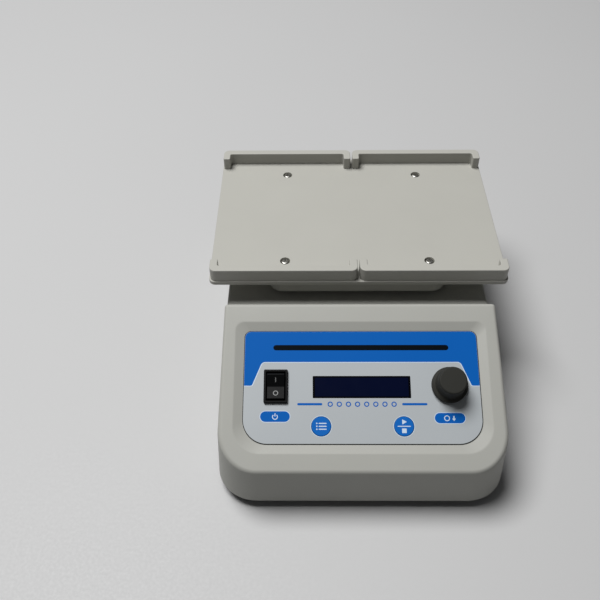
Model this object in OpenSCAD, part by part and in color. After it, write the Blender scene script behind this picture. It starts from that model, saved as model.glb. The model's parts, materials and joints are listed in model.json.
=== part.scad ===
// Orbital shaker for two microplates.
// Frame: +X to the right seen from the panel, +Y to the rear, +Z up.
// The origin is on the table, under the middle of the housing.

/* [Housing] */
// Width over the skirt at its lower edge
body_w = 194; // [180:1:240]
// Depth over the skirt at its lower edge
body_d = 272; // [262:1:330]
// Gap between the table and the skirt
skirt_z = 7; // [6:0.5:12]
// Height of the flat deck under the platform
deck_h = 71; // [70:0.5:90]
// Height of the upper edge of the sloped console
console_h = 88; // [84:0.5:110]
// Height of the ridge between the front skirt and the slope
ridge_h = 39.5; // [34:0.5:48]
// Tilt of the sloped panel from the table
panel_tilt = 25; // [20:0.5:30]
// Draft of the side walls in degrees
draft = 3; // [1:0.5:4]
// Wall of the moulded housing
wall = 2.5; // [2:0.1:3.2]
// Plan radius of the front corners
front_r = 27; // [18:1:34]
// Plan radius of the rear corners
rear_r = 12; // [8:1:20]

/* [Platform] */
// Width of the nest floor
tray_w = 210.6; // [202:0.2:250]
// Depth of the nest floor
tray_d = 146.6; // [138:0.2:175]
// Ledge of the nest floor that shows outside the rims
ledge = 0.8; // [0.2:0.1:1.5]
// Height of the top of the nest rims
tray_top = 101; // [100:0.5:125]
// Height of the nest rims above the nest floor
rim_h = 10; // [6:0.5:12]
// Thickness of the nest floor
floor_t = 3; // [3:0.1:4]
// Thickness of the nest rims
rim_t = 5.5; // [4:0.1:7]
// Length of the rim that turns round each nest corner
rim_return = 12.5; // [8:0.5:20]
// Gap between the rims of the two nests
nest_gap = 1.5; // [1:0.1:4]
// Width of the carriage under the platform
carriage_w = 127; // [118:1:150]
// Depth of the carriage under the platform
carriage_d = 134; // [118:1:150]
// Height of the carriage
carriage_h = 12.5; // [11.5:0.1:13]

/* [Drive] */
// Diameter of the platform's circular path
orbit = 3; // [1.5:0.5:4.5]
// Distance of the drive axis behind the housing's middle
drive_y = 59; // [57:1:66]
// Sideways distance of each guide crank from the drive axis
guide_x = 40; // [38:1:44]
// Front-to-back distance of each guide crank from the drive axis
guide_y = 38; // [36:1:42]
// Diameter of the drive pin, the guide pins and the shafts
pin_d = 8; // [6:0.5:9]
// Thickness of the steel chassis plate
chassis_t = 4; // [3:0.5:5]
// Height of the top of the chassis plate
chassis_z = 60; // [58:0.5:62]
// Outer radius of the motor can
motor_r = 28; // [24:0.5:30]

/* [Panel] */
// Width of the printed overlay
overlay_w = 156.6; // [150:0.5:170]
// Length of the overlay up the slope
overlay_l = 76; // [72:0.5:84]
// Distance of the overlay's lower edge from the ridge
overlay_s = 18.6; // [16:0.5:24]
// Width of the bevel round the panel recess
bevel_w = 6; // [4:0.5:8]
// Depth of the panel recess
recess = 2; // [1:0.1:2.5]
// Thickness of the overlay
overlay_t = 0.5; // [0.3:0.05:0.8]
// Width of the display window
window_w = 65; // [60:0.5:68]
// Length of the display window up the slope
window_l = 15; // [12:0.5:17]
// Diameter of the round keys
key_d = 13; // [10:0.5:15]
// Width of the rocker switch bezel
rocker_w = 16; // [15:0.5:20]
// Length of the rocker switch bezel up the slope
rocker_l = 22.6; // [21:0.5:28]
// Diameter of the knob's skirt
knob_d = 24; // [20:0.5:28]
// Diameter of the knob's grip
grip_d = 18.4; // [15:0.5:20]
// Height of the knob
knob_h = 15; // [12:0.5:20]

/* [Rear] */
// Distance of the mains inlet from the middle
inlet_x = -54; // [-57:1:-50]
// Height of the middle of the mains inlet
inlet_z = 35; // [33:0.5:38]

/* [Hidden] */
$fn = 64;

// Clearances
run_gap = 0.05;       // running fit of a shaft in its bearing, on the radius
seat_gap = 0.02;      // seated part in its bore, on the radius
guide_gap = 0.1;      // guide pin in its upper bearing, on the radius
fit_gap = 0.3;        // panel parts in their cut-outs
eps = 0.01;

// Housing
ridge_y = -body_d / 2 + (ridge_h - skirt_z) * tan(draft);
console_y = ridge_y + (console_h - ridge_h) / tan(panel_tilt);
crest_t = 1;          // flat land behind the console's upper edge
lean = 2 * (console_h - skirt_z) * tan(draft);
top_scale = [1 - lean / body_w, 1 - lean / body_d];
base_t = 2;
base_z = skirt_z + 1; // underside of the base plate
base_top = base_z + base_t;
foot_r = 9;
foot_x = body_w / 2 - 27;
foot_ys = [-body_d / 2 + 32, body_d / 2 - 24];
boss_r = 4.5;
boss_x = body_w / 2 - 13;
boss_ys = [-body_d / 2 + 28, 0, body_d / 2 - 20];

// Drive
e = orbit / 2;
tray_y = drive_y + e; // middle of the platform at rest, with the crank pointing to the rear
tray_bottom = tray_top - rim_h - floor_t;
chassis_bottom = chassis_z - chassis_t;
chassis_w = 2 * guide_x + 76;
chassis_d = 2 * guide_y + 42;
pillar_x = chassis_w / 2 - 8;
pillar_y = guide_y - 8;
pin_r = pin_d / 2;
small_r = pin_r + 4;  // outer radius of a small bearing
small_w = 5;
large_r = pin_r + 7;  // outer radius of the drive bearing
large_w = 7;
carriage_z = tray_bottom - carriage_h;
carriage_top_t = 4;
cavity_z = tray_bottom - carriage_top_t; // underside of the carriage's top web
pin_top = cavity_z - 0.3;
neck_top = carriage_z + 0.6;
boss_z = carriage_z + 1.2;
hub_z = chassis_z + 0.6;
web_z = chassis_z + 0.8;
deck_under = deck_h - wall;
hub_hole_r = pin_r + 11;
guide_hole_r = pin_r + 6;
counter_r = 30;
screw_at = [carriage_w / 2 - 11.5, carriage_d / 2 - 15.4];

// Panel, in its own frame: x across, s up the slope from the ridge, w out of the slope
floor_w = -recess;            // floor of the recess
face_w = floor_w + overlay_t; // face of the overlay
inner_w = floor_w - wall;     // inside of the panel wall
board_w = inner_w - 8.9;      // face of the control board
board_t = 1.6;
window_at = [0, 56.1];
key_s = 30;
key_x = 27;
key_travel = 0.3;
knob_at = [58, 57];
push_travel = 0.5;
rocker_at = [-57, 56.4];
rocker_wall = 0.7;
rocker_rim = 2;
paddle_r = rocker_l / 2 - rocker_rim - 0.2;
rocker_tilt = 12;
pivot_w = face_w + 0.5;
board_x = [-42, 72];
board_s = [18, 84];
board_screws_at = [[-38, 22], [68, 22], [-38, 80], [68, 80]];

// Rear
flange_y = body_d / 2 - 4.5; // floor of the pocket in the rear wall
flange_t = 2;
flange = [50, 34];
inlet_body = [28, 31];
inlet_depth = 24;
socket = [24, 16];
socket_z = inlet_z + 4.5;
socket_depth = 16;
drawer = [22, 7];
drawer_z = inlet_z - 10.5;
drawer_l = 21;

// Supply board on the base plate, in front of the motor
supply_x = [-70, 40];
supply_y = [-66, -4];
supply_z = base_top + 6;

// ---------- helpers ----------
// Rectangle with round corners, centred
module round_rect(w, d, r) {
    square([w - 2 * r, d], center = true);
    square([w, d - 2 * r], center = true);
    for (x = [-1, 1], y = [-1, 1]) translate([x * (w / 2 - r), y * (d / 2 - r)]) circle(r);
}

// Rectangle with its own radius on the lower and on the upper corners, centred
module two_radius_rect(w, d, low, high) {
    for (x = [-1, 1]) {
        translate([x * (w / 2 - low), -d / 2 + low]) circle(low);
        translate([x * (w / 2 - high), d / 2 - high]) circle(high);
    }
    translate([0, (low - high) / 2]) square([w, d - low - high], center = true);
    translate([0, -d / 2 + low / 2]) square([w - 2 * low, low], center = true);
    translate([0, d / 2 - high / 2]) square([w - 2 * high, high], center = true);
}

// Rod along Z from z0 to z1
module rod(r, z0, z1) {
    translate([0, 0, z0]) cylinder(r = r, h = z1 - z0);
}

// Ring along Z from z0 to z1
module ring(r_out, r_in, z0, z1) {
    difference() {
        rod(r_out, z0, z1);
        rod(r_in, z0 - 1, z1 + 1);
    }
}

// Puts its children in the panel's frame
module on_panel(x = 0, s = 0, w = 0) {
    translate([0, ridge_y, ridge_h]) rotate([panel_tilt, 0, 0]) translate([x, s, w]) children();
}

// A point of the panel's frame, in the part's frame
function panel_point(x, s, w) = [
    x,
    ridge_y + s * cos(panel_tilt) - w * sin(panel_tilt),
    ridge_h + s * sin(panel_tilt) + w * cos(panel_tilt)
];

// Axis of each guide crank in the chassis, by side (-1 or 1) and end (-1 or 1)
module at_guide(sx, sy, off = 0) {
    translate([sx * guide_x, drive_y + sy * guide_y + off, 0]) children();
}

module at_guides(off = 0) {
    for (sx = [-1, 1], sy = [-1, 1]) at_guide(sx, sy, off) children();
}

// Pan-head screw along Z: underside of the head at z = 0, shank down to -len
module pan_screw(r, head_r, head_h, len) {
    difference() {
        union() {
            rod(r, -len, eps);
            rod(head_r, 0, head_h);
        }
        translate([0, 0, head_h - 0.6 * head_h / 2]) {
            cube([head_r * 1.1, 0.9, head_h], center = true);
            cube([0.9, head_r * 1.1, head_h], center = true);
        }
    }
}

// Points of a smooth curve through p, with n steps between neighbours
function spline(p, n) = concat(
    [for (i = [0 : len(p) - 2], k = [0 : n - 1])
        let (a = p[max(i - 1, 0)], b = p[i], c = p[i + 1], d = p[min(i + 2, len(p) - 1)], t = k / n)
        0.5 * (2 * b + t * ((c - a) + t * ((2 * a - 5 * b + 4 * c - d) + t * (3 * b - a - 3 * c + d))))],
    [p[len(p) - 1]]
);

// Round wire of radius r swept along the points p, with eight sides
module wire(p, r) {
    n = len(p);
    sides = 8;
    rings = [for (i = [0 : n - 1])
        let (
            v = p[min(i + 1, n - 1)] - p[max(i - 1, 0)],
            f = v / norm(v),
            g = cross(f, [0, 0.1, 1]),
            u = g / norm(g),
            q = cross(f, u)
        )
        for (k = [0 : sides - 1]) p[i] + r * (cos(360 * k / sides) * u + sin(360 * k / sides) * q)];
    walls = [for (i = [0 : n - 2], k = [0 : sides - 1])
        [i * sides + k, i * sides + (k + 1) % sides, (i + 1) * sides + (k + 1) % sides, (i + 1) * sides + k]];
    low_end = [for (k = [0 : sides - 1]) sides - 1 - k];
    high_end = [for (k = [0 : sides - 1]) (n - 1) * sides + k];
    polyhedron(points = rings, faces = concat([low_end], walls, [high_end]), convexity = 6);
}

// ---------- housing ----------
// Plan of the housing at its lower edge, drawn in by inset
module plan_outline(inset) {
    two_radius_rect(body_w - 2 * inset, body_d - 2 * inset, front_r - inset, rear_r - inset);
}

// Side profile: slope, crest, step down to the deck. x is Y and y is Z here
module side_profile(inset) {
    drop = inset / cos(panel_tilt);
    low = skirt_z - 5;
    top = console_h - drop;
    crest_y = console_y + crest_t - inset;
    crest = crest_y > console_y
        ? [[console_y, top], [crest_y, top]]
        : [[crest_y, top + (crest_y - console_y) * tan(panel_tilt)]];
    polygon(concat(
        [[-body_d, low], [-body_d, ridge_h - drop + (-body_d - ridge_y) * tan(panel_tilt)]],
        crest,
        [[crest_y, deck_h - inset], [body_d, deck_h - inset], [body_d, low]]
    ));
}

// Solid inside the housing's outer faces, drawn in by inset
module housing_block(inset) {
    intersection() {
        translate([0, 0, skirt_z])
            linear_extrude(height = console_h - skirt_z, scale = top_scale, slices = 1) plan_outline(inset);
        rotate([90, 0, 90]) translate([0, 0, -body_w])
            linear_extrude(height = 2 * body_w) side_profile(inset);
    }
}

// Bevelled recess for the overlay
module panel_recess() {
    w = overlay_w + 1;
    l = overlay_l + 1;
    mid = overlay_s + overlay_l / 2;
    on_panel(0, mid, floor_w)
        linear_extrude(height = recess + eps, scale = [(w + 2 * bevel_w) / w, (l + 2 * bevel_w) / l], slices = 1)
            two_radius_rect(w, l, 16, 5);
    on_panel(0, mid, 0) linear_extrude(height = 20)
        two_radius_rect(w + 2 * bevel_w, l + 2 * bevel_w, 18, 6);
}

module upper_housing() color("gainsboro") difference() {
    union() {
        difference() {
            housing_block(0);
            difference() {
                translate([0, 0, -eps]) housing_block(wall);
                panel_backing();
            }
            translate([0, 0, base_z - 2]) linear_extrude(height = 2.01) plan_outline(wall);
        }
        intersection() {
            housing_block(wall / 2);
            housing_bosses();
        }
    }
    panel_recess();
    panel_cutouts();
    deck_cutouts();
    rear_cutouts();
    housing_screw_holes();
}

// Thickens the wall behind the recess, so that the recess floor keeps its wall
module panel_backing() {
    on_panel(0, overlay_s + overlay_l / 2, inner_w)
        linear_extrude(height = recess + 1)
            round_rect(overlay_w + 2 * bevel_w + 4, overlay_l + 2 * bevel_w + 2, 8);
    translate([inlet_x, flange_y - wall, inlet_z])
        rotate([-90, 0, 0]) linear_extrude(height = 10) round_rect(flange[0] + 8, flange[1] + 8, 3);
}

module at_bosses() {
    for (x = [-1, 1] * boss_x, y = boss_ys) translate([x, y, 0]) children();
}

module at_feet() {
    for (x = [-1, 1] * foot_x, y = foot_ys) translate([x, y, 0]) children();
}

// Bosses for the base plate screws and for the control board
module housing_bosses() {
    at_bosses() rod(boss_r, base_top, console_h);
    for (p = board_screws_at) on_panel(p[0], p[1]) rod(3.5, board_w, inner_w + 1);
}

module panel_cutouts() {
    on_panel(window_at[0], window_at[1], -15) linear_extrude(height = 15)
        square([window_w + 1.4, window_l + 1.4], center = true);
    for (x = [-1, 1] * key_x) on_panel(x, key_s) rod(key_d / 2 + fit_gap, -15, 1);
    on_panel(knob_at[0], knob_at[1]) rod(3.7, -15, 1);
    on_panel(rocker_at[0], rocker_at[1], -15) linear_extrude(height = 15)
        square([rocker_w - 2.2, rocker_l - 2.4], center = true);
    for (p = board_screws_at) on_panel(p[0], p[1]) rod(1.5 + run_gap, board_w - 1, inner_w + 0.5);
}

module deck_cutouts() {
    translate([0, drive_y, 0]) rod(hub_hole_r, deck_h - 2 * wall, deck_h + 5);
    at_guides() rod(guide_hole_r, deck_h - 2 * wall, deck_h + 5);
}

module rear_cutouts() {
    translate([inlet_x, flange_y, inlet_z]) rotate([-90, 0, 0])
        linear_extrude(height = 20) round_rect(flange[0] + 1, flange[1] + 1, 4.5);
    translate([inlet_x, flange_y, inlet_z])
        cube([inlet_body[0] + 0.6, 20, inlet_body[1] + 0.6], center = true);
    for (x = [-20, 20]) translate([inlet_x + x, flange_y + eps, inlet_z])
        rotate([90, 0, 0]) rod(1.25 + run_gap, 0, 8);
    for (i = [0 : 9]) translate([24 + 5.5 * i, body_d / 2, 36]) cube([2.4, 14, 22], center = true);
}

module housing_screw_holes() {
    at_bosses() rod(1.5 + run_gap, base_z, base_top + 14);
}

module base_plate() color("dimgray") difference() {
    translate([0, 0, base_z]) linear_extrude(height = base_t) plan_outline(wall + 0.8);
    at_bosses() rod(1.7, base_z - 1, base_top + 1);
    at_feet() rod(2 + run_gap, base_z - 1, base_top + 1);
    at_pillars() rod(2.2, base_z - 1, base_top + 1);
    at_supply_screws() rod(1.7, base_z - 1, base_top + 1);
    for (i = [0 : 8]) translate([-32 + 8 * i, -90, base_z]) cube([3, 28, 10], center = true);
}

module rubber_feet() color("black") at_feet() rotate_extrude() polygon([
    [2.2, 4], [4.2, 4], [4.2, 0], [foot_r - 1, 0], [foot_r, 1], [foot_r + 0.6, base_z], [2.2, base_z]
]);

module foot_screws() color("silver") at_feet()
    translate([0, 0, 4]) rotate([180, 0, 0]) pan_screw(2, 3.8, 2.2, base_top - 1.2);

module housing_screws() color("silver") at_bosses()
    translate([0, 0, base_z]) rotate([180, 0, 0]) pan_screw(1.5, 3.1, 2, 14);

// ---------- chassis ----------
module at_pillars() {
    for (x = [-1, 1] * pillar_x, y = [-1, 1] * pillar_y) translate([x, drive_y + y, 0]) children();
}

module motor_screw_places() {
    for (a = [45 : 90 : 315]) translate([0, drive_y, 0]) rotate(a) translate([motor_r - 6, 0, 0]) children();
}

module chassis_plate() color("lightsteelblue") difference() {
    translate([0, drive_y, chassis_bottom]) linear_extrude(height = chassis_t) round_rect(chassis_w, chassis_d, 6);
    translate([0, drive_y, 0]) rod(11, chassis_bottom - 1, chassis_z + 1);
    at_guides() rod(pin_r + 2, chassis_bottom - 1, chassis_z + 1);
    at_pillars() rod(2.2, chassis_bottom - 1, chassis_z + 1);
    motor_screw_places() {
        rod(2.2, chassis_bottom - 1, chassis_z + 1);
        rod(3.9, chassis_z - 2.2, chassis_z + 1);
    }
    at_guide_screws() rod(1.5 + run_gap, chassis_bottom - 1, chassis_z + 1);
}

module chassis_pillars() color("silver") at_pillars() difference() {
    translate([0, 0, base_top]) cylinder(r = 5, h = chassis_bottom - base_top, $fn = 6);
    rod(2 + run_gap, base_top - 1, base_top + 9);
    rod(2 + run_gap, chassis_bottom - 9, chassis_bottom + 1);
}

module chassis_screws() color("silver") at_pillars() {
    translate([0, 0, chassis_z]) pan_screw(2, 3.5, 2.2, chassis_t + 7);
    translate([0, 0, base_z]) rotate([180, 0, 0]) pan_screw(2, 3.5, 1.8, base_t + 7);
}

module guide_screws() color("silver") at_guide_screws()
    translate([0, 0, chassis_z]) pan_screw(1.5, 2.8, 2, chassis_t + 2.6);

// ---------- motor ----------
can_z = base_top + 4;
bell_t = 6;
rotor_r = 15;

module motor_can() color("dimgray") translate([0, drive_y, 0]) difference() {
    rod(motor_r, can_z, chassis_bottom);
    rod(motor_r - 2, can_z + 8, chassis_bottom - bell_t);
    rod(small_r + seat_gap, can_z + 3, can_z + 9);
    rod(small_r + seat_gap, chassis_bottom - small_w, chassis_bottom + 1);
    rod(pin_r + 1, can_z + 2, chassis_bottom);
    for (a = [45 : 90 : 315]) rotate(a) translate([motor_r - 6, 0, 0])
        rod(2 + run_gap, chassis_bottom - bell_t - 1, chassis_bottom + 1);
}

module motor_stator() color("sienna") translate([0, drive_y, 0]) difference() {
    rod(motor_r - 2 - seat_gap, can_z + 10, chassis_bottom - bell_t - 2);
    rod(rotor_r + 0.6, can_z + 9, chassis_bottom);
    for (a = [0 : 40 : 320]) rotate(a) translate([rotor_r + 4, 0, 0]) {
        translate([-1, 0, (can_z + chassis_bottom) / 2]) cube([8, 1.6, 60], center = true);
        rod(2.6, can_z, chassis_bottom);
    }
}

module motor_rotor() color("silver") translate([0, drive_y, 0]) {
    rod(pin_r, can_z + 2.4, deck_h - 2);
    rod(rotor_r, can_z + 11, chassis_bottom - bell_t - 3);
}

module motor_bearings() color("gray") translate([0, drive_y, 0]) {
    ring(small_r, pin_r + run_gap, can_z + 3, can_z + 3 + small_w);
    ring(small_r, pin_r + run_gap, chassis_bottom - small_w, chassis_bottom);
}

module motor_screws() color("silver") motor_screw_places()
    translate([0, 0, chassis_z - 2.2]) pan_screw(2, 3.5, 2, chassis_t - 2.2 + 5);

// ---------- crank ----------
module counter_screw_places() {
    for (a = [-135, -45]) translate([0, drive_y, 0]) rotate(a) translate([pin_r + 11.5, 0, 0]) children();
}

module eccentric_hub() color("lightgray") difference() {
    union() {
        translate([0, drive_y, 0]) {
            rod(pin_r + 15, hub_z, hub_z + 1.8);
            rod(pin_r + 7, hub_z, deck_h - 1);
        }
        translate([0, tray_y, 0]) {
            rod(pin_r + 3.5, deck_h - 1, neck_top);
            rod(pin_r, neck_top - 1, pin_top);
        }
    }
    translate([0, drive_y, 0]) rod(pin_r + seat_gap, hub_z - 1, deck_h - 2 + 0.2);
    translate([0, drive_y + pin_r, chassis_z + 5]) rotate([-90, 0, 0]) rod(2 + run_gap, 0, 12);
    counter_screw_places() rod(1.5 + run_gap, hub_z - 1, hub_z + 3);
}

module counterweight() color("darkgray") difference() {
    translate([0, drive_y, 0]) ring(counter_r, pin_r + 7 + seat_gap, hub_z + 1.8, hub_z + 6.8);
    translate([-50, drive_y - eps, hub_z - 1]) cube([100, 100, 20]);
    counter_screw_places() {
        rod(1.5 + run_gap, hub_z, hub_z + 9);
        rod(3, hub_z + 4.6, hub_z + 9);
    }
}

module counterweight_screws() color("silver") counter_screw_places()
    translate([0, 0, hub_z + 4.6]) pan_screw(1.5, 2.8, 2, 4.4);

module hub_set_screw() color("black") translate([0, drive_y, chassis_z + 5]) rotate([-90, 0, 0]) difference() {
    rod(2, pin_r + 0.05, pin_r + 7);
    translate([0, 0, pin_r + 5]) cylinder(r = 1.1, h = 5, $fn = 6);
}

// ---------- platform ----------
// Puts its children at the four corners [x, y] of a rectangle round the origin
module at_four(p) {
    for (x = [-1, 1] * p[0], y = [-1, 1] * p[1]) translate([x, y, 0]) children();
}

module drive_bearing() color("silver") translate([0, tray_y, 0])
    ring(large_r, pin_r + run_gap, pin_top - 0.2 - large_w, pin_top - 0.2);

module guide_top_bearings() color("silver") at_guides(e)
    ring(small_r, pin_r + guide_gap, pin_top - 0.2 - small_w, pin_top - 0.2);

module carriage_plate() color("darkgray") translate([0, tray_y, 0]) difference() {
    union() {
        difference() {
            translate([0, 0, carriage_z]) linear_extrude(height = carriage_h)
                round_rect(carriage_w, carriage_d, 10);
            translate([0, 0, carriage_z - 1]) linear_extrude(height = carriage_h - carriage_top_t + 1)
                round_rect(carriage_w - 7, carriage_d - 7, 6.5);
        }
        rod(large_r + 3, boss_z, tray_bottom);
        at_four([guide_x, guide_y]) rod(small_r + 3, boss_z, tray_bottom);
        at_four(screw_at) rod(5, boss_z, tray_bottom);
        for (y = [-1, 1] * guide_y) translate([0, y, cavity_z - 1.5])
            cube([2 * guide_x, 3, 3.2], center = true);
        for (x = [-1, 1] * guide_x) translate([x, 0, cavity_z - 1.5])
            cube([3, 2 * guide_y, 3.2], center = true);
    }
    rod(large_r + seat_gap, boss_z - 1, pin_top - 0.2);
    rod(pin_r + 1, boss_z - 1, cavity_z);
    at_four([guide_x, guide_y]) {
        rod(small_r + seat_gap, boss_z - 1, pin_top - 0.2);
        rod(pin_r + 1, boss_z - 1, cavity_z);
    }
    at_four(screw_at) rod(2 + run_gap, boss_z - 1, tray_bottom + 1);
}

nest_w = (tray_w - 2 * ledge - nest_gap) / 2;
nest_d = tray_d - 2 * ledge;

// Rims of one nest: a U at the front and a U at the rear, open at the sides
module nest_rims() {
    difference() {
        round_rect(nest_w, nest_d, 4.5);
        round_rect(nest_w - 2 * rim_t, nest_d - 2 * rim_t, 1.5);
        square([nest_w + 2, nest_d - 2 * rim_return], center = true);
    }
}

module nest_platform() color("whitesmoke") translate([0, tray_y, 0]) difference() {
    union() {
        translate([0, 0, tray_bottom]) linear_extrude(height = floor_t) round_rect(tray_w, tray_d, 4.5);
        for (sx = [-1, 1]) translate([sx * (nest_w + nest_gap) / 2, 0, tray_bottom])
            linear_extrude(height = floor_t + rim_h) nest_rims();
    }
    at_four(screw_at) {
        rod(2.2, tray_bottom - 1, tray_top);
        rod(3.7, tray_bottom + floor_t - 2, tray_top);
    }
}

module platform_screws() color("silver") translate([0, tray_y, tray_bottom + floor_t - 2])
    at_four(screw_at) pan_screw(2, 3.4, 1.8, floor_t - 2 + 9);

// ---------- guide cranks ----------
module at_guide_screws() {
    at_guides() for (x = [-1, 1] * (small_r + 5.5)) translate([x, 0, 0]) children();
}

module guide_housings() color("lightgray") difference() {
    at_guides() {
        rod(small_r + 3, chassis_bottom - 14, chassis_bottom);
        rod(small_r + 9, chassis_bottom - 3, chassis_bottom);
    }
    at_guides() {
        rod(small_r + seat_gap, chassis_bottom - 15, chassis_bottom - 14 + small_w);
        rod(small_r + seat_gap, chassis_bottom - small_w, chassis_bottom + 1);
        rod(pin_r + 1, chassis_bottom - 15, chassis_bottom + 1);
    }
    at_guide_screws() rod(1.5 + run_gap, chassis_bottom - 4, chassis_bottom + 1);
}

module guide_base_bearings() color("silver") at_guides() {
    ring(small_r, pin_r + run_gap, chassis_bottom - 14, chassis_bottom - 14 + small_w);
    ring(small_r, pin_r + run_gap, chassis_bottom - small_w, chassis_bottom);
}

module guide_crank(sx, sy) color("silver") {
    at_guide(sx, sy) {
        rod(pin_r, chassis_bottom - 14, web_z + 1);
        rod(pin_r + 6, web_z, web_z + 5.4);
    }
    at_guide(sx, sy, e) {
        rod(pin_r + 2, web_z + 5, neck_top);
        rod(pin_r, neck_top - 1, pin_top);
    }
}

module guide_crank_front_left() guide_crank(-1, -1);
module guide_crank_front_right() guide_crank(1, -1);
module guide_crank_rear_left() guide_crank(-1, 1);
module guide_crank_rear_right() guide_crank(1, 1);

module deck_seals() color("black") {
    translate([0, drive_y, 0]) ring(hub_hole_r + 4, hub_hole_r, deck_h, deck_h + 1.2);
    at_guides() ring(guide_hole_r + 3, guide_hole_r, deck_h, deck_h + 1.2);
}

// ---------- panel ----------
module panel_overlay() color("lightgray") difference() {
    on_panel(0, overlay_s + overlay_l / 2, floor_w) linear_extrude(height = overlay_t)
        two_radius_rect(overlay_w, overlay_l, 16, 4);
    on_panel(window_at[0], window_at[1], floor_w - 1) linear_extrude(height = 5)
        square([window_w, window_l], center = true);
    for (x = [-1, 1] * key_x) on_panel(x, key_s) rod(key_d / 2 + 0.15, floor_w - 1, 2);
    on_panel(knob_at[0], knob_at[1]) rod(3.7, floor_w - 1, 2);
    on_panel(rocker_at[0], rocker_at[1], floor_w - 1) linear_extrude(height = 5)
        square([rocker_w - 2.2, rocker_l - 2.4], center = true);
}

module display_window() color("midnightblue", 0.6) on_panel(window_at[0], window_at[1], floor_w)
    linear_extrude(height = overlay_t) square([window_w - 0.1, window_l - 0.1], center = true);

module display_module() color("green") on_panel(window_at[0], window_at[1], 0) {
    difference() {
        translate([0, 0, inner_w - 4]) linear_extrude(height = 3.8)
            square([window_w + 6.3, window_l + 10], center = true);
        translate([0, 0, inner_w - 5]) linear_extrude(height = 9)
            square([window_w + 1, window_l + 1.5], center = true);
    }
    translate([0, 0, inner_w - 5.6]) linear_extrude(height = 1.6) square([window_w + 15, 36], center = true);
    translate([-16, 15, (board_w + inner_w - 5.6) / 2]) cube([40, 2.5, inner_w - 5.6 - board_w], center = true);
}

module display_glass() color("navy") on_panel(window_at[0], window_at[1], inner_w - 4)
    linear_extrude(height = 2.6) square([window_w + 0.8, window_l + 1.3], center = true);

module control_board() color("darkgreen") difference() {
    on_panel(0, 0, board_w - board_t) linear_extrude(height = board_t)
        translate([board_x[0], board_s[0]]) square([board_x[1] - board_x[0], board_s[1] - board_s[0]]);
    for (p = board_screws_at) on_panel(p[0], p[1]) rod(1.7, board_w - 5, board_w + 1);
}

// Controller chip, driver chips, buzzer and connectors, under the control board
module board_components() color("black") on_panel(0, 0, board_w - board_t) {
    translate([4, 52, -1.6]) linear_extrude(height = 1.6) square([12, 12], center = true);
    for (x = [-24, 34]) translate([x, 40, -1.8]) linear_extrude(height = 1.8) square([8, 6], center = true);
    translate([48, 74, 0]) rod(6, -8, 0);
    for (x = [-20, 10]) translate([x, 72, -7]) linear_extrude(height = 7) square([14, 6], center = true);
    for (x = [20, 26]) translate([x, 28, 0]) rod(2.5, -6, 0);
}

module board_screws() color("silver") {
    for (p = board_screws_at) on_panel(p[0], p[1], board_w - board_t)
        rotate([180, 0, 0]) pan_screw(1.5, 2.8, 2, 8.5);
    at_supply_screws() translate([0, 0, supply_z + board_t]) pan_screw(1.5, 2.8, 2, 5);
}

// A round key: cap, retaining flange behind the panel wall, and stem
module key_piece(x) {
    on_panel(x, key_s) {
        rod(key_d / 2 - 0.1, inner_w - 1.2, face_w + 0.2);
        rod(key_d / 2 + 1.5, inner_w - 1.3, inner_w - 0.2);
        rod(2, board_w + 3.9, inner_w - 1);
    }
}

module select_key() color("royalblue") key_piece(-key_x);
module start_stop_key() color("royalblue") key_piece(key_x);

module key_switches() color("black") for (x = [-1, 1] * key_x) on_panel(x, key_s) {
    translate([0, 0, board_w]) linear_extrude(height = 3) square([6, 6], center = true);
    rod(1.7, board_w + 3, board_w + 3.5);
}

module encoder_body() color("silver") on_panel(knob_at[0], knob_at[1]) difference() {
    union() {
        translate([0, 0, board_w]) linear_extrude(height = 6.4) square([12.4, 13.4], center = true);
        rod(3.5, board_w + 6, face_w + 2.4);
    }
    rod(3 + run_gap, board_w + 2.7, face_w + 5);
    rod(4, board_w + 0.4, board_w + 2.8);
}

module encoder_nut() color("silver") on_panel(knob_at[0], knob_at[1]) difference() {
    translate([0, 0, face_w]) cylinder(r = 5.7, h = 1.8, $fn = 6);
    rod(3.5 + seat_gap, face_w - 1, face_w + 5);
}

module encoder_plunger() color("white") on_panel(knob_at[0], knob_at[1]) rod(3.6, board_w + 1.1, board_w + 2.5);

module encoder_shaft() color("gray") on_panel(knob_at[0], knob_at[1]) difference() {
    rod(3, board_w + 2.6, face_w + 12.5);
    translate([1.6, -5, face_w + 5]) cube([10, 10, 20]);
}

// The knob: wide skirt, straight grip with a rounded edge, hollow underneath for the nut
module control_knob() color("dimgray") on_panel(knob_at[0], knob_at[1]) difference() {
    translate([0, 0, face_w + 0.9]) rotate_extrude() polygon(concat(
        [[0, 0], [knob_d / 2, 0], [knob_d / 2, 2.6], [grip_d / 2 + 0.6, 4.6], [grip_d / 2, knob_h - 1.5]],
        [for (a = [18 : 18 : 90]) [grip_d / 2 - 1.5 + 1.5 * cos(a), knob_h - 1.5 + 1.5 * sin(a)]],
        [[0, knob_h]]
    ));
    rod(6.6, face_w, face_w + 3.4);
    difference() {
        rod(3 + seat_gap, face_w, face_w + 12.6);
        translate([1.6 + seat_gap, -5, face_w + 5]) cube([10, 10, 20]);
    }
}

module rocker_frame() color("black") on_panel(rocker_at[0], rocker_at[1]) difference() {
    union() {
        translate([0, 0, face_w]) linear_extrude(height = 2) round_rect(rocker_w, rocker_l, 0.8);
        translate([0, 0, face_w - 14]) linear_extrude(height = 14 + eps)
            square([rocker_w - 2 * rocker_rim, rocker_l - 2 * rocker_rim] + [2, 2] * rocker_wall, center = true);
    }
    translate([0, 0, face_w - 12]) linear_extrude(height = 20)
        square([rocker_w - 2 * rocker_rim, rocker_l - 2 * rocker_rim], center = true);
    translate([0, 0, pivot_w]) rotate([0, 90, 0])
        rod(1.2 + run_gap, -rocker_w / 2 + rocker_rim - 0.6, rocker_w / 2 - rocker_rim + 0.6);
}

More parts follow.
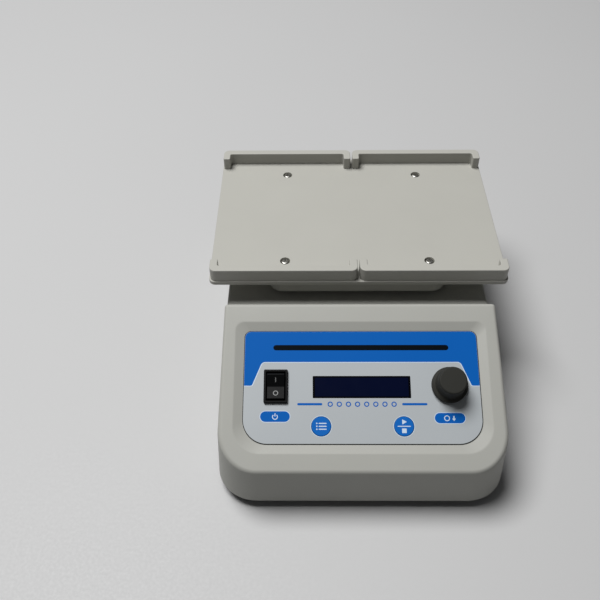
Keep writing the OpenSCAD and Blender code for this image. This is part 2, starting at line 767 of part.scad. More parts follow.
// The paddle rests with its lower half pressed, which is off
module rocker_paddle() color("black") on_panel(rocker_at[0], rocker_at[1], pivot_w)
rotate([rocker_tilt, 0, 0]) {
    half = rocker_w / 2 - rocker_rim - 0.2;
    intersection() {
        rotate([90, 0, 90]) translate([0, 0, -half]) linear_extrude(height = 2 * half)
            polygon([[-20, 4.2], [0, 0], [20, 4.2], [20, -3], [3, -9], [-3, -9], [-20, -3]]);
        rotate([0, 90, 0]) rod(paddle_r, -half, half);
    }
    rotate([0, 90, 0]) rod(1.2, -half - 0.6, half + 0.6);
}

module rocker_terminals() color("gold")
    for (s = [-6, 2]) on_panel(rocker_at[0], rocker_at[1] + s, face_w - 18) cube([4.8, 0.8, 8], center = true);

// ---------- mains inlet ----------
// Puts its children on the inlet's face: z runs out of the rear wall
module on_inlet(x = 0, z = 0, depth = 0) {
    translate([inlet_x + x, flange_y + flange_t - depth, inlet_z + z]) rotate([-90, 0, 0]) children();
}

// Shaped opening of the inlet: two corners are cut
module socket_outline() {
    c = 4;
    x = socket[0] / 2;
    y = socket[1] / 2;
    polygon([[-x, -y + c], [-x + c, -y], [x - c, -y], [x, -y + c], [x, y], [-x, y]]);
}

// Places of the three pins, from the middle of the socket
pins_at = [[-7, -2.5], [7, -2.5], [0, 3]];

module power_inlet() color("black") difference() {
    union() {
        on_inlet(0, 0, flange_t) linear_extrude(height = flange_t) round_rect(flange[0], flange[1], 4);
        on_inlet(0, 0, inlet_depth) linear_extrude(height = inlet_depth) square(inlet_body, center = true);
    }
    on_inlet(0, socket_z - inlet_z, socket_depth) linear_extrude(height = 20) socket_outline();
    on_inlet(0, drawer_z - inlet_z, drawer_l + 2) linear_extrude(height = 40)
        square([drawer[0] + 0.6, drawer[1] + 0.6], center = true);
    for (x = [-20, 20]) on_inlet(x, 0, 0) {
        rod(1.25 + run_gap, -5, 5);
        rod(2.9, -1.2, 5);
    }
    for (p = pins_at) on_inlet(p[0], socket_z - inlet_z + p[1], inlet_depth + 1)
        linear_extrude(height = inlet_depth) square([2.1, 4.1], center = true);
}

module inlet_pins() color("silver") for (p = pins_at)
    on_inlet(p[0], socket_z - inlet_z + p[1], inlet_depth + 6)
        linear_extrude(height = inlet_depth + 4) square([2, 4], center = true);

module inlet_screws() color("silver")
    for (x = [-20, 20]) on_inlet(x, 0, 1.2) pan_screw(1.25, 2.7, 1.2, 8);

module fuse_drawer() color("black") difference() {
    union() {
        on_inlet(0, drawer_z - inlet_z, drawer_l) linear_extrude(height = drawer_l + 0.5)
            square(drawer, center = true);
        on_inlet(0, drawer_z - inlet_z, -0.1) linear_extrude(height = 1)
            square([drawer[0] + 2, drawer[1] + 1.6], center = true);
    }
    for (x = [-5.5, 5.5]) translate([inlet_x + x, flange_y + flange_t - drawer_l + 0.5, drawer_z]) {
        rotate([-90, 0, 0]) rod(2.6, 0, drawer_l - 1.6);
        translate([-2.6, 0, 0]) cube([5.2, drawer_l - 1.6, 10]);
    }
}

module fuse_tubes() color("white") for (x = [-5.5, 5.5])
    translate([inlet_x + x, flange_y + flange_t - drawer_l + 0.6, drawer_z])
        rotate([-90, 0, 0]) rod(2.5, 0, drawer_l - 2);

// ---------- supply ----------
// Puts its children at the four screws of the supply board, 4 mm in from its edges
module at_supply_screws() {
    for (x = supply_x + [4, -4], y = supply_y + [4, -4]) translate([x, y, 0]) children();
}

module supply_board() color("peru") difference() {
    translate([supply_x[0], supply_y[0], supply_z])
        cube([supply_x[1] - supply_x[0], supply_y[1] - supply_y[0], board_t]);
    at_supply_screws() rod(1.7, supply_z - 1, supply_z + 3);
}

// Transformer, storage capacitors, heat sink and terminal block
module supply_components() color("goldenrod") translate([0, 0, supply_z + board_t]) {
    translate([-16, -35, 12]) cube([34, 28, 24], center = true);
    for (x = [-58, -44]) translate([x, -20, 0]) rod(6, 0, 18);
    for (y = [-52, -34, -16]) translate([22, y, 0]) rod(4, 0, 14);
    translate([8, -35, 9]) cube([3, 40, 18], center = true);
    translate([-56, -52, 5]) cube([14, 10, 10], center = true);
}

module supply_standoffs() color("gold") at_supply_screws() difference() {
    rod(3, base_top, supply_z);
    rod(1.5 + run_gap, base_top - 1, supply_z + 1);
}

// Small board with a sensor that sees the counterweight pass
module speed_sensor() color("green") translate([counter_r + 1.5, drive_y, chassis_z]) {
    translate([0, -6, 0]) cube([14, 12, 1.2]);
    translate([0, -2, 1.2]) cube([3.5, 4, 3.6]);
}

// ---------- wiring ----------
rocker_low = panel_point(rocker_at[0], rocker_at[1] - 6, face_w - 23);
rocker_high = panel_point(rocker_at[0], rocker_at[1] + 2, face_w - 23);
mains_route = [[inlet_x - 7, flange_y + flange_t - inlet_depth - 8, socket_z - 4],
               [inlet_x - 8, drive_y + 34, 30], [-57, drive_y + 20, 26], [-57, drive_y - 30, 24],
               [-77, drive_y - 65, 26], [-78, -50, 28], [-66, rocker_high[1] + 8, rocker_high[2] - 8],
               rocker_high];
switched_route = [rocker_low, rocker_low + [0, 2, -7], [-60, -68, 28], [-58, -58.4, supply_z + board_t + 6]];
low_volt_route = [[31, -24, supply_z + board_t + 0.6], [31, -24, 27], [27, -34, 35], [20, -46, 41],
                  panel_point(14, 72, board_w - board_t - 8)];
motor_route = [[27, -8.5, supply_z + board_t + 0.6], [27, -7.5, 24], [18, 8, 28],
               [6, drive_y - motor_r - 1, 29]];

module wiring_harness() color("red") {
    wire(spline(mains_route, 6), 1.5);
    wire(spline(switched_route, 5), 1.5);
    wire(spline(low_volt_route, 5), 1.2);
    wire(spline(motor_route, 5), 1.8);
}

upper_housing();
base_plate();
rubber_feet();
foot_screws();
housing_screws();
chassis_plate();
chassis_pillars();
chassis_screws();
motor_can();
motor_stator();
motor_rotor();
motor_bearings();
motor_screws();
eccentric_hub();
counterweight();
counterweight_screws();
hub_set_screw();
drive_bearing();
carriage_plate();
guide_top_bearings();
nest_platform();
platform_screws();
guide_housings();
guide_screws();
guide_base_bearings();
guide_crank_front_left();
guide_crank_front_right();
guide_crank_rear_left();
guide_crank_rear_right();
deck_seals();
panel_overlay();
display_window();
display_module();
display_glass();
control_board();
board_components();
board_screws();
select_key();
start_stop_key();
key_switches();
encoder_body();
encoder_nut();
encoder_plunger();
encoder_shaft();
control_knob();
rocker_frame();
rocker_paddle();
rocker_terminals();
power_inlet();
inlet_pins();
inlet_screws();
fuse_drawer();
fuse_tubes();
supply_board();
supply_components();
supply_standoffs();
speed_sensor();
wiring_harness();
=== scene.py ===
"""Orbital shaker for two microplates: the visible surfaces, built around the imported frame.

Lengths are in millimetres until mesh() turns them into metres. Shapes on the sloped panel are drawn
in the panel's own frame: x across, s up the slope from the ridge, w out of the slope.
"""
import json
import math

import bmesh
import bpy
import numpy as np
from mathutils import Matrix, Vector


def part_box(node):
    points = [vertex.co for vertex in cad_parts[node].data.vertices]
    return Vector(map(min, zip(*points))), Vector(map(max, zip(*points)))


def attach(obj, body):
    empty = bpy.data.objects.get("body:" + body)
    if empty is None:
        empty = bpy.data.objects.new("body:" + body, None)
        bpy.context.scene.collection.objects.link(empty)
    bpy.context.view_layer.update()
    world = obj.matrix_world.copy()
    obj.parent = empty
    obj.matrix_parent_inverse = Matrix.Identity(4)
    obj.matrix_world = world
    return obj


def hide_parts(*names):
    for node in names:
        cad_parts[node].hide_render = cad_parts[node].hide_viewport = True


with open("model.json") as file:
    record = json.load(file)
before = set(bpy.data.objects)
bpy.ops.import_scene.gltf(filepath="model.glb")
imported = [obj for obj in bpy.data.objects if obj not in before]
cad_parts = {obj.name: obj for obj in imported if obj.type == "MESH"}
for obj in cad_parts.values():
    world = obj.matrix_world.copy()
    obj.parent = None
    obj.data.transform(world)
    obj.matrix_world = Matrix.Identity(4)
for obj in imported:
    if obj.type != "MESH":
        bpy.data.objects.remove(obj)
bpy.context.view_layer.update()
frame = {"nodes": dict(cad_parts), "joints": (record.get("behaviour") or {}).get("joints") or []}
nodes = frame["nodes"]
joints = {j["name"]: j for j in frame["joints"]}
MM = 0.001


def node_box(node):
    """Lowest and highest corner of a CAD node, in millimetres."""
    low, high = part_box(node)
    return np.array(low) / MM, np.array(high) / MM


def middle(node):
    """Centre of a CAD node's box, in millimetres."""
    return sum(node_box(node)) / 2


# ---------- sizes ----------
# Panel frame, from the knob's axis
KNOB_AT = (58.0, 57.0)
ROCKER_AT = (-57.0, 56.4)
WINDOW_AT = (0.0, 56.1)
KEY_X, KEY_S = 27.0, 30.0
TILT = math.atan2(-joints["knob_turn"]["axis"][1], joints["knob_turn"]["axis"][2])
ACROSS = np.array((1.0, 0.0, 0.0))
UPHILL = np.array((0.0, math.cos(TILT), math.sin(TILT)))
OUTWARD = np.array((0.0, -math.sin(TILT), math.cos(TILT)))
RIDGE = np.array(joints["knob_turn"]["pos_m"]) / MM - KNOB_AT[0] * ACROSS - KNOB_AT[1] * UPHILL
RIDGE_Y, RIDGE_Z = RIDGE[1], RIDGE[2]

# Housing
HOUSING_LOW, HOUSING_HIGH = node_box("upper_housing")
HALF_W, HALF_D = HOUSING_HIGH[0], HOUSING_HIGH[1]
SKIRT_Z, CREST_Z = HOUSING_LOW[2], HOUSING_HIGH[2]
DECK_Z = node_box("deck_seals")[0][2]
DRAFT = math.radians(3)
FRONT_R, REAR_R = 27.0, 12.0
CREST_T = 1.0         # flat land behind the console's upper edge
CREST_R = 2.6         # rounding of the console's upper edge, seen from the side
WALL, PANEL_WALL = 2.5, 4.5
LIP_Z = SKIRT_Z + 0.8  # where the outer wall ends and its rounded lower lip begins
SEAL_HOLE_R, GUIDE_HOLE_R = 15.0, 10.0
INLET_HOLE = (51.0, 35.0, 4.5)            # width, height and corner radius
VENTS, VENT_STEP, VENT_X, VENT_Z = 10, 5.5, 24.0, 36.0
VENT_W, VENT_H = 2.4, 22.0
CONSOLE_Y = RIDGE_Y + (CREST_Z - RIDGE_Z) / math.tan(TILT)
FLOOR_W = -2.0        # floor of the panel's recess
FACE_W = -1.5         # face of the printed film
INK = 0.04            # thickness of the print
BEVEL_W = 6.0         # width of the bevel round the recess
FILM_GAP = 0.5        # gap between the film and the foot of the bevel
ROCKER_HOLE = (13.8, 20.2, 0.6)           # width, length and corner radius
BUSHING_R = 3.7

# Film on the panel
FILM_W, FILM_L, FILM_S = 156.6, 76.0, 18.6
BAND_S = 73.2         # lower edge of the blue band
LEG_S = 57.0          # lower ends of the band's legs
FILM_R_LOW, FILM_R_HIGH = 16.0, 4.2       # corner radii of the film
FILM_MIDDLE = (0, FILM_S + FILM_L / 2)

# Keys
KEY_R = 6.4
KEY_TOP = FACE_W + 0.2

# Platform
TRAY_LOW, TRAY_HIGH = node_box("nest_platform")
TRAY_FLOOR_T = 3.0
RIM_T, RIM_RETURN, NEST_GAP, LEDGE = 5.5, 12.5, 1.5, 0.8
SCREW_HEAD_R = 3.4


# ---------- outlines ----------
def unit(v):
    """Vectors scaled to length one."""
    return v / np.linalg.norm(v, axis=-1, keepdims=True)


def run(a, b, n):
    """n points along the straight line from a to b, without a itself."""
    t = np.arange(1, n + 1)[:, None] / n
    return np.array(a, float) * (1 - t) + np.array(b, float) * t


def arc(centre, radius, start, stop, n):
    """n points round a circle from angle start to angle stop in degrees, without the first."""
    t = np.radians(start + (stop - start) * np.arange(1, n + 1) / n)
    return np.array(centre) + radius * np.column_stack([np.cos(t), np.sin(t)])


def rounded(corners, steps=8, closed=True):
    """Line through corners (x, y, radius): each corner is cut by the arc that touches both its sides."""
    c = np.array([p[:2] for p in corners], float)
    parts = []
    for i, (_, _, radius) in enumerate(corners):
        if radius <= 0 or (not closed and i in (0, len(corners) - 1)):
            parts.append(c[i:i + 1])
            continue
        a, b = unit(c[i - 1] - c[i]), unit(c[(i + 1) % len(c)] - c[i])
        half = 0.5 * math.acos(np.clip(a @ b, -1, 1))
        centre = c[i] + unit(a + b) * radius / math.sin(half)
        reach = radius / math.tan(half)
        start, stop = c[i] + a * reach - centre, c[i] + b * reach - centre
        turn = math.pi - 2 * half
        t = np.linspace(0, 1, steps + 1)[:, None]
        parts.append(centre + (np.sin((1 - t) * turn) * start + np.sin(t * turn) * stop) / math.sin(turn))
    return np.concatenate(parts)


def box_outline(w, d, low, high=None, at=(0, 0), steps=8):
    """Rectangle w by d round at, with radius low on its lower corners and high on its upper ones."""
    high = low if high is None else high
    x, y = w / 2, d / 2
    corners = [(-x, -y, low), (x, -y, low), (x, y, high), (-x, y, high)]
    return rounded(corners, steps) + np.array(at)


def circle(radius, at=(0, 0), n=64):
    """Closed outline of n points round a centre."""
    return arc(at, radius, 0, 360, n)


def inset(outline, d):
    """Moves a closed anticlockwise outline inwards by d: each point goes along the line that halves
    its corner."""
    a = unit(outline - np.roll(outline, 1, 0))
    b = unit(np.roll(outline, -1, 0) - outline)
    n = np.column_stack([-a[:, 1], a[:, 0]])
    m = np.column_stack([-b[:, 1], b[:, 0]])
    return outline + d * (n + m) / (1 + np.sum(n * m, 1))[:, None]


# ---------- surfaces ----------
def strips(first, second, wrap=True):
    """Quads between two equal rows of vertex numbers, facing right of the way first runs when second
    is above."""
    a, b = np.array(first), np.array(second)
    a2, b2 = np.roll(a, -1), np.roll(b, -1)
    quads = np.column_stack([a, a2, b2, b])
    return quads if wrap else quads[:-1]


def loft(rings, wrap_rings=False):
    """Closed surface through rings of points: quads between neighbours and a flat face at each end,
    or no ends where the last ring joins the first."""
    rings = np.array(rings, float)
    count, n = rings.shape[:2]
    number = np.arange(count * n).reshape(count, n)
    faces = [q for k in range(count - 1) for q in strips(number[k], number[k + 1]).tolist()]
    if wrap_rings:
        faces += strips(number[-1], number[0]).tolist()
    else:
        faces += [number[0][::-1].tolist(), number[-1].tolist()]
    return rings.reshape(-1, 3), faces


def slab(outline, low, high, top=0.0, bottom=0.0, steps=4):
    """Plate from height low to high over an outline. Quarter arcs of radius top and bottom round its edges:
    at angle a the ring is inset by r (1 - cos a) and lies r (1 - sin a) from the face."""
    def levels(radius, face, away):
        """Inset and height of each ring of one rounded edge."""
        a = np.radians(np.linspace(90, 0, steps + 1))
        return [(radius * (1 - math.cos(t)), face + away * radius * (1 - math.sin(t))) for t in a]

    edge = levels(bottom, low, 1) if bottom else [(0, low)]
    edge += levels(top, high, -1)[::-1] if top else [(0, high)]
    return loft([np.column_stack([inset(outline, d) if d else outline, np.full(len(outline), z)])
                 for d, z in edge])


def turned(profile, n=64, at=(0, 0), ring=False):
    """Surface of revolution: the profile's (radius, height) points carried round a full circle."""
    rings = [np.column_stack([circle(r, at, n), np.full(n, z)]) for r, z in profile]
    return loft(rings, wrap_rings=ring)


def joined(*surfaces):
    """Several surfaces as one."""
    points, faces, start = [], [], 0
    for p, f in surfaces:
        points.append(p)
        faces += [[start + i for i in face] for face in f]
        start += len(p)
    return np.concatenate(points), faces


def on_panel(surface, w=0.0):
    """Moves a surface from the panel's frame (x, s, w) to the part's frame."""
    points, faces = surface
    p = RIDGE + points[:, :1] * ACROSS + points[:, 1:2] * UPHILL + (points[:, 2:] + w) * OUTWARD
    return p, faces


def on_rear(surface, at):
    """Stands a surface drawn in x, y and out on the rear wall: y becomes height and out becomes +Y."""
    p, faces = surface
    return np.column_stack([at[0] - p[:, 0], at[1] + p[:, 2], at[2] + p[:, 1]]), faces


# ---------- pieces ----------
def mesh(name, surface):
    """Makes an object of a surface, in metres, with every face pointing outwards."""
    points, faces = surface
    data = bpy.data.meshes.new(name)
    data.from_pydata((points * MM).tolist(), [], faces)
    work = bmesh.new()
    work.from_mesh(data)
    bmesh.ops.remove_doubles(work, verts=work.verts, dist=1e-7)
    bmesh.ops.recalc_face_normals(work, faces=work.faces)
    work.to_mesh(data)
    work.free()
    obj = bpy.data.objects.new(name, data)
    bpy.context.scene.collection.objects.link(obj)
    return obj


def carve(obj, surfaces, operation="DIFFERENCE"):
    """Cuts the surfaces out of obj, or joins them to it, and keeps the result as its mesh."""
    tools = [mesh("tool", s) for s in surfaces]
    for tool in tools:
        step = obj.modifiers.new("carve", "BOOLEAN")
        step.operation, step.solver, step.object = operation, "EXACT", tool
    bpy.context.view_layer.update()
    result = bpy.data.meshes.new_from_object(obj.evaluated_get(bpy.context.evaluated_depsgraph_get()))
    obj.modifiers.clear()
    obj.data = result
    for tool in tools:
        bpy.data.objects.remove(tool)
    return obj


def piece(obj, body, slot, material, *replaced, angle=35):
    """Gives a finished object its shading, its material and its body, and hides the CAD nodes it stands for."""
    data = obj.data
    data.materials.clear()
    data.materials.append(material)
    data.shade_smooth()
    data.set_sharp_from_angle(angle=math.radians(angle))
    weigh = obj.modifiers.new("flat faces stay flat", "WEIGHTED_NORMAL")
    weigh.keep_sharp = True
    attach(obj, body)
    if replaced:
        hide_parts(*replaced)
    return obj


# ---------- materials ----------
def linear(code):
    """sRGB hex to linear RGBA."""
    c = [int(code[i:i + 2], 16) / 255 for i in (1, 3, 5)]
    return [v / 12.92 if v <= 0.04045 else ((v + 0.055) / 1.055) ** 2.4 for v in c] + [1.0]


def add(tree, kind, inputs=(), **settings):
    """Adds a shader node. inputs maps a socket's name or number to a value or to another node's output."""
    node = tree.nodes.new("ShaderNode" + kind)
    for key, value in settings.items():
        setattr(node, key, value)
    for key, value in dict(inputs).items():
        if isinstance(value, bpy.types.NodeSocket):
            tree.links.new(value, node.inputs[key])
        else:
            node.inputs[key].default_value = value
    return node


def surface_material(name, colour, other, rough, grain_mm, depth_mm, patch_mm=40.0, stretch=(1, 1, 1),
                     rough_spread=0.06, spots=0.0, spot_colour="#808080", **fixed):
    """Plain solid surface: two near colours in soft patches, a fine grain that sets bump and roughness,
    and optional fine specks. fixed holds values that are the same all over, such as Metallic."""
    material = bpy.data.materials.new(name)
    material.use_nodes = True
    tree = material.node_tree
    shader = tree.nodes["Principled BSDF"]
    place = add(tree, "TexCoord").outputs["Object"]
    turned_place = add(tree, "Mapping", {"Vector": place, "Scale": stretch}).outputs["Vector"]
    patch = add(tree, "TexNoise", {"Vector": place, "Scale": 1 / (patch_mm * MM), "Detail": 3.0})
    grain = add(tree, "TexNoise", {"Vector": turned_place, "Scale": 1 / (grain_mm * MM), "Detail": 2.0})
    tint = add(tree, "Mix", {0: patch.outputs["Fac"], 6: linear(colour), 7: linear(other)},
               data_type="RGBA").outputs[2]
    if spots:
        dots = add(tree, "TexNoise", {"Vector": place, "Scale": 1 / (0.9 * grain_mm * MM), "Detail": 1.0})
        mask = add(tree, "MapRange", {"Value": dots.outputs["Fac"], 1: 0.66, 2: 0.74, 3: 0.0, 4: spots})
        tint = add(tree, "Mix", {0: mask.outputs[0], 6: tint, 7: linear(spot_colour)},
                   data_type="RGBA").outputs[2]
    tree.links.new(tint, shader.inputs["Base Color"])
    spread = add(tree, "MapRange", {"Value": grain.outputs["Fac"], 1: 0.3, 2: 0.7,
                                    3: rough - rough_spread, 4: rough + rough_spread})
    tree.links.new(spread.outputs[0], shader.inputs["Roughness"])
    bump = add(tree, "Bump", {"Height": grain.outputs["Fac"], "Distance": depth_mm * MM, "Strength": 1.0})
    tree.links.new(bump.outputs["Normal"], shader.inputs["Normal"])
    for key, value in fixed.items():
        shader.inputs[key.replace("_", " ")].default_value = value
    return material


# Moulded ABS: warm grey, a spark-eroded texture about 0.5 mm coarse that keeps highlights broad
HOUSING_ABS = surface_material("textured_grey_abs", "#A1A19B", "#A5A59F", 0.55, 0.5, 0.03, spots=0.2,
                               spot_colour="#93938D", Specular_IOR_Level=0.35)
# Moulded ABS of the platform: a little smoother
TRAY_ABS = surface_material("satin_light_abs", "#A6A59E", "#ABAAA3", 0.48, 0.6, 0.02,
                            Specular_IOR_Level=0.4)
# Polycarbonate film printed on its back: cool silver-grey, even and satin
FILM = surface_material("silver_printed_film", "#A6ABAE", "#ABB0B3", 0.42, 0.35, 0.006, patch_mm=60,
                        Specular_IOR_Level=0.4)
# Screen inks on the film: even and satin
BLUE_INK = surface_material("blue_screen_ink", "#0A59AB", "#0B5BAD", 0.5, 0.35, 0.006,
                            Specular_IOR_Level=0.04)
PALE_INK = surface_material("pale_screen_ink", "#BFCFE0", "#C6D5E4", 0.45, 0.35, 0.004)
BLACK_INK = surface_material("black_screen_ink", "#040A10", "#050C13", 0.5, 0.35, 0.006,
                             Specular_IOR_Level=0.03)
# Painted shade: a dull near-black ring that stands in for the shadow in the gap round the film
PAINTED_GAP_SHADE = surface_material("painted_gap_shade_black", "#1A1B1A", "#1E1F1E", 0.9, 0.4, 0.02,
                            Specular_IOR_Level=0.1)
# Blue key caps: smooth with a soft sheen
KEY_BLUE = surface_material("blue_key_plastic", "#0F60B2", "#1062B5", 0.45, 0.5, 0.01,
                            Specular_IOR_Level=0.08)
# Soft-touch dark grey of the knob: broad dull highlight
KNOB_SOFT = surface_material("soft_touch_dark_grey", "#2A2A27", "#2E2E2A", 0.65, 0.3, 0.02,
                             Specular_IOR_Level=0.15)
# Black nylon of the switch and the inlet: a fine satin
SWITCH_BLACK = surface_material("moulded_black_nylon", "#090A0B", "#0C0D0E", 0.5, 0.6, 0.012,
                                Specular_IOR_Level=0.1)
# Grey marks moulded into the switch: satin
GREY_MARK = surface_material("grey_moulded_mark", "#7C7E7D", "#828483", 0.5, 0.4, 0.004)
# Tinted acrylic window with an anti-glare face: nearly black navy
WINDOW_TINT = surface_material("tinted_acrylic_window", "#050A22", "#060C26", 0.25, 8.0, 0.002,
                               rough_spread=0.02, Specular_IOR_Level=0.04)
# Black print behind the border of the same acrylic
WINDOW_EDGE = surface_material("black_window_border", "#020205", "#030307", 0.3, 8.0, 0.002,
                               rough_spread=0.02, Specular_IOR_Level=0.04)
# Metals: zinc plate is soft and even, ground steel and machined aluminium show fine lines, the castings
# and sheets are painted, and brass is bright
ZINC = surface_material("zinc_plated_steel", "#A9A8A2", "#B6B4AD", 0.34, 0.5, 0.006, Metallic=1.0)
GROUND_STEEL = surface_material("ground_steel", "#B9BABC", "#C2C3C5", 0.25, 0.4, 0.004,
                                stretch=(1, 1, 12), Metallic=1.0)
ALUMINIUM = surface_material("machined_aluminium", "#9B9D9E", "#A6A8A9", 0.38, 0.5, 0.008,
                             stretch=(8, 1, 1), Metallic=1.0)
GREY_PAINT = surface_material("grey_painted_casting", "#9C9C96", "#A0A09A", 0.5, 0.7, 0.02,
                              Specular_IOR_Level=0.35)
DARK_PAINT = surface_material("dark_powder_coat", "#3A3B3C", "#3F4041", 0.6, 0.7, 0.03)
LAMINATION = surface_material("varnished_laminations", "#5A4A3A", "#6A5642", 0.5, 0.5, 0.03,
                              stretch=(1, 1, 30))
BRASS = surface_material("bright_brass", "#C8A24E", "#D2AE5C", 0.28, 0.5, 0.004, Metallic=1.0)
# Inside and underneath: dull rubber, glossy solder mask, fibrous laminate, satin mouldings and clear glass
RUBBER = surface_material("black_rubber", "#161615", "#1B1B1A", 0.8, 0.8, 0.03)
MASK_GREEN = surface_material("green_solder_mask", "#0C4A2A", "#0E5330", 0.35, 2.5, 0.01, Coat_Weight=0.3)
PAPER_BOARD = surface_material("paper_laminate", "#A87E4C", "#B48A58", 0.55, 1.5, 0.01)
EPOXY_BLACK = surface_material("moulded_epoxy", "#17181A", "#1D1E20", 0.55, 0.4, 0.015)
YELLOW_TAPE = surface_material("yellow_winding_tape", "#C9A63A", "#D0AE44", 0.4, 1.2, 0.01)
RED_PVC = surface_material("red_pvc_insulation", "#8E1E1A", "#98241F", 0.38, 2.0, 0.01)
WHITE_NYLON = surface_material("white_nylon", "#D5D4CE", "#DBDAD4", 0.45, 0.6, 0.01)
CLEAR_GLASS = surface_material("clear_fuse_glass", "#DDE5E6", "#E2EAEB", 0.05, 4.0, 0.001,
                               rough_spread=0.01, Transmission_Weight=0.85, IOR=1.5)


# ---------- housing ----------
def taper(z):
    """How the housing's outline shrinks from its lower edge up to height z, along X and along Y."""
    lean = (z - SKIRT_Z) * math.tan(DRAFT)
    return 1 - lean / HALF_W, 1 - lean / HALF_D


ROW = 44      # quads across the top
CORNER = 16   # stations round a front corner
SLOPE = 24    # stations up the side of the slope
TOP_BEND = 6  # half of the points round an upper corner of the recess


def side_stations(wall, panel_wall, edge_front, edge):
    """Stations along the right-hand edge of the top, from the start of the front corner to the rear.

    Each has a centre for the ball that rounds the edge, the ball's radius, the way out of the side and the
    way out of the top. A point of the edge is centre + radius times a direction between the two."""
    drop = panel_wall / math.cos(TILT)
    low_y, high_y = -HALF_D + wall, HALF_D - wall
    front_r, rear_r, half_w = FRONT_R - wall, REAR_R - wall, HALF_W - wall
    tan = math.tan(TILT)

    # Front corner: the outline's arc, with the height at which a ball touches both wall and slope
    phi = np.radians(np.linspace(0, 90, CORNER + 1))
    x0, y0 = half_w - front_r + front_r * np.sin(phi), low_y + front_r - front_r * np.cos(phi)
    out = np.column_stack([np.sin(phi), -np.cos(phi), 0 * phi])
    z = np.full_like(phi, RIDGE_Z)
    for _ in range(8):
        sx, sy = taper(z)
        x, y = x0 * sx - edge_front * out[:, 0], y0 * sy - edge_front * out[:, 1]
        z = RIDGE_Z - drop + (y - RIDGE_Y) * tan - edge_front / math.cos(TILT)
    corner = dict(centre=np.column_stack([x, y, z]), radius=np.full(len(phi), edge_front), out=out,
                  up=np.tile(OUTWARD, (len(phi), 1)), foot=np.column_stack([x0, y0]))

    # Side: slope up to the rounded crest, step down and deck
    deck_z = DECK_Z - wall
    step_y = CONSOLE_Y + CREST_T - wall
    crest_z = CREST_Z - drop + (step_y - CONSOLE_Y) * tan
    start = y[-1] - edge_front * math.sin(TILT)
    start_z = RIDGE_Z - drop + (start - RIDGE_Y) * tan
    stop = (high_y - rear_r) * taper(deck_z)[1]
    path = rounded([(start, start_z, 0), (step_y, crest_z, max(CREST_R - wall, 0.5)),
                    (step_y, deck_z, 2.0 + wall), (stop, deck_z, 0)], 6, closed=False)
    path = np.concatenate([run(path[0], path[1], SLOPE), path[2:8], run(path[7], path[8], 4), path[9:15],
                           run(path[14], path[15], 26)])
    along = unit(np.gradient(path, axis=0))
    up = np.column_stack([0 * along[:, 0], -along[:, 1], along[:, 0]])
    radius = edge_front + (edge - edge_front) * np.clip((path[:, 0] - start) / 40, 0, 1)
    centre_yz = path - radius[:, None] * up[:, 1:]
    half = half_w * taper(centre_yz[:, 1])[0]
    count = len(path)
    # The foot of each station on the skirt: the step's stations are spread over the 30 mm in front of it
    spread = 30.0
    before = np.clip((path[:, 0] - start) / (step_y - start), 0, 1)
    falling = np.clip((crest_z - path[:, 1]) / (crest_z - deck_z), 0, 1) * (path[:, 0] > step_y - 1e-3)
    foot_y = start + before * (step_y - spread - start) + falling * spread
    foot_y = np.where(path[:, 0] > step_y + 1e-6, np.maximum(path[:, 0], foot_y), foot_y)
    side = dict(centre=np.column_stack([half - radius, centre_yz]), radius=radius,
                out=np.tile((1.0, 0, 0), (count, 1)), up=up,
                foot=np.column_stack([np.full(count, half_w), foot_y]))

    # Rear corner on the deck
    phi = np.radians(np.linspace(0, 90, 9))[1:]
    x0, y0 = half_w - rear_r + rear_r * np.cos(phi), high_y - rear_r + rear_r * np.sin(phi)
    out = np.column_stack([np.cos(phi), np.sin(phi), 0 * phi])
    r = radius[-1]
    z = np.full_like(phi, deck_z - r)
    sx, sy = taper(z)
    rear = dict(centre=np.column_stack([x0 * sx - r * out[:, 0], y0 * sy - r * out[:, 1], z]),
                radius=np.full(len(phi), r), out=out, up=np.tile((0.0, 0, 1), (len(phi), 1)),
                foot=np.column_stack([x0, y0]))
    keys = ("centre", "radius", "out", "up", "foot")
    stations = {k: np.concatenate([corner[k], side[k], rear[k]]) for k in keys}
    return stations, CORNER + SLOPE  # and the last station that still lies on the slope


def ring_of(stations):
    """The right-hand stations, their mirror image and the rows across front and rear, as one ring."""
    def across(k, value):
        """A row of equal stations from left to right."""
        a = np.linspace(-1, 1, ROW + 1)
        if k == "radius":
            return np.full(ROW + 1, value)
        row = np.tile(value, (ROW + 1, 1))
        row[:, 0] = a * value[0] if k in ("centre", "foot") else 0.0
        return row

    ring = {}
    for k, v in stations.items():
        left = v if k == "radius" else v * (np.array((-1, 1, 1)) if v.shape[1] == 3 else np.array((-1, 1)))
        ring[k] = np.concatenate([across(k, v[0]), v[1:-1], across(k, v[-1])[::-1], left[1:-1][::-1]])
    return ring


def shell_side(wall, panel_wall, edge_front, edge, foot_z):
    """One face of the housing's shell: a ring where the top begins, rings round the edge and rings
    down the wall."""
    stations, last_slope = side_stations(wall, panel_wall, edge_front, edge)
    ring = ring_of(stations)
    turn = np.arccos(np.clip(np.sum(ring["up"] * ring["out"], 1), -1, 1))[:, None]
    rings = []
    for t in np.linspace(0, 1, 7):
        way = (np.sin((1 - t) * turn) * ring["up"] + np.sin(t * turn) * ring["out"]) / np.sin(turn)
        rings.append(ring["centre"] + ring["radius"][:, None] * way)
    wall_top = rings[-1]
    sx, sy = taper(wall_top[:, 2])
    base = np.column_stack([wall_top[:, 0] / sx, wall_top[:, 1] / sy])
    for t in np.linspace(0, 1, 6)[1:]:
        z = wall_top[:, 2] * (1 - t) + foot_z * t
        sx, sy = taper(z)
        at = base * (1 - t) + ring["foot"] * t
        rings.append(np.column_stack([at[:, 0] * sx, at[:, 1] * sy, z]))
    return rings, stations, last_slope


